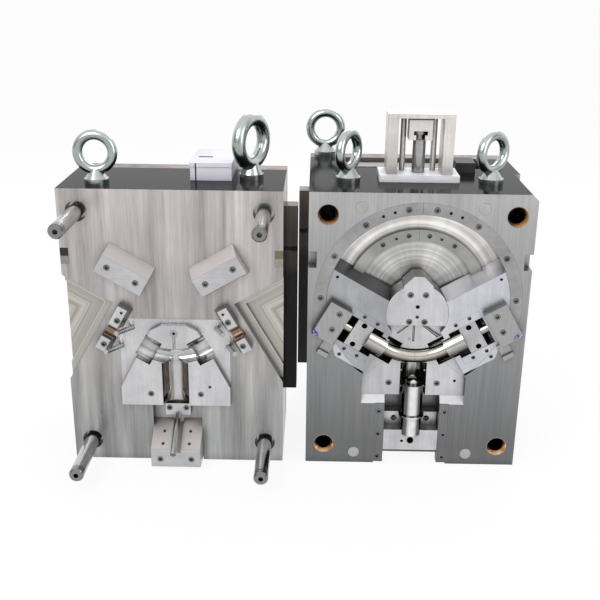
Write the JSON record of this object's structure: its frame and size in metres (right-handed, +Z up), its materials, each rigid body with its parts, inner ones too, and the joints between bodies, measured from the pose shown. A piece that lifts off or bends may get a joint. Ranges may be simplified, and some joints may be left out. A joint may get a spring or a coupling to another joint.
{
  "type": "injection mould",
  "caption": "Opened injection mould for a curved tee pipe fitting, both halves side by side, with swinging bend cores, socket slides, a branch core slide and an ejector set",
  "frame": {"origin": "bottom centre of the box round both halves", "axes": "+Z up, +X from the fixed half to the moving half, the parting faces look towards -Y"},
  "size_m": [1, 0.5444, 0.737],
  "materials": {
    "fixed_steel": "ground plate with fine upright streaks",
    "moving_steel": "satin ground plate",
    "bright_steel": "milled and ground bright",
    "hard_steel": "hardened wear plate",
    "polished_steel": "polished core",
    "pin_steel": "ground hard pin",
    "zinc": "zinc plated forging",
    "bronze": "turned bronze",
    "screw_steel": "blackened",
    "box_grey": "light grey",
    "box_dark": "dark housing"
  },
  "bodies": {
    "mould": {"fixed_cavity_plate": "fixed_steel", "fixed_backing_plate": "fixed_steel", "fixed_runner_plate": "fixed_steel", "fixed_clamp_plate": "fixed_steel", "locating_ring": "bright_steel", "sprue_bush": "pin_steel", "cavity_insert": "bright_steel", "guide_pins": "pin_steel", "heel_blocks": "bright_steel", "socket_locks": "bright_steel", "lock_wear_pieces": "bronze", "socket_angle_pins": "pin_steel", "branch_heel_block": "bright_steel", "branch_pin_plate": "bright_steel", "branch_angle_pin": "pin_steel", "fixed_side_locks": "bronze", "electric_boxes": "box_grey", "core_plate": "moving_steel", "outer_ring_gibs": "moving_steel", "inner_gibs": "bright_steel", "center_disc": "bright_steel", "core_sector": "bright_steel", "core_insert": "bright_steel", "branch_rails": "moving_steel", "guide_bushes": "bronze", "gear_hub": "moving_steel", "support_plate": "moving_steel", "spacer_blocks": "moving_steel", "moving_clamp_plate": "moving_steel", "support_pillars": "pin_steel", "eye_bolts": "zinc", "arc_stops": "hard_steel", "bracket_base": "bright_steel", "bracket_posts": "bright_steel", "plate_screws": "screw_steel"},
    "right_carriage": {"carrier_right": "bright_steel", "curved_core_right": "polished_steel", "wedge_plate_right": "hard_steel", "slide_strips_right": "bright_steel", "carrier_screws_right": "screw_steel", "gear_arm_right": "hard_steel"},
    "left_carriage": {"carrier_left": "bright_steel", "curved_core_left": "polished_steel", "wedge_plate_left": "hard_steel", "slide_strips_left": "bright_steel", "carrier_screws_left": "screw_steel", "gear_arm_left": "hard_steel"},
    "right_socket": {"socket_slide_right": "bright_steel", "socket_core_right": "polished_steel"},
    "left_socket": {"socket_slide_left": "bright_steel", "socket_core_left": "polished_steel"},
    "branch": {"branch_slide": "bright_steel", "branch_core": "polished_steel"},
    "pull": {"pull_racks": "hard_steel", "pull_rod": "pin_steel", "pull_coupler": "bright_steel"},
    "ejector": {"ejector_plate": "moving_steel", "ejector_retainer_plate": "moving_steel", "return_pins": "pin_steel", "ejector_pins": "pin_steel"}
  },
  "joints": [
    {"name": "arc_right", "type": "hinge", "parent": "mould", "child": "right_carriage", "pos_m": [0.25, -0.09525, 0.369], "axis": [0, -1, 0], "range_deg": [0, 50]},
    {"name": "arc_left", "type": "hinge", "parent": "mould", "child": "left_carriage", "pos_m": [0.25, -0.09525, 0.369], "axis": [0, 1, 0], "range_deg": [0, 50]},
    {"name": "pull_stroke", "type": "slide", "parent": "mould", "child": "pull", "axis": [0, 0, -1], "range_m": [0, 0.0419]},
    {"name": "socket_right", "type": "slide", "parent": "right_carriage", "child": "right_socket", "axis": [0.866, 0, 0.5], "range_m": [-0.0226, 0]},
    {"name": "socket_left", "type": "slide", "parent": "left_carriage", "child": "left_socket", "axis": [-0.866, 0, 0.5], "range_m": [-0.0226, 0]},
    {"name": "branch_stroke", "type": "slide", "parent": "mould", "child": "branch", "axis": [0, 0, 1], "range_m": [0, 0.046]},
    {"name": "ejector_stroke", "type": "slide", "parent": "mould", "child": "ejector", "axis": [0, -1, 0], "range_m": [0, 0.045]}
  ],
  "couplings": [
    {"joint": "arc_left", "follows": "arc_right", "ratio": 1},
    {"joint": "pull_stroke", "follows": "arc_right", "m_per_rad": 0.048},
    {"joint": "socket_left", "follows": "socket_right", "ratio": 1}
  ]
}
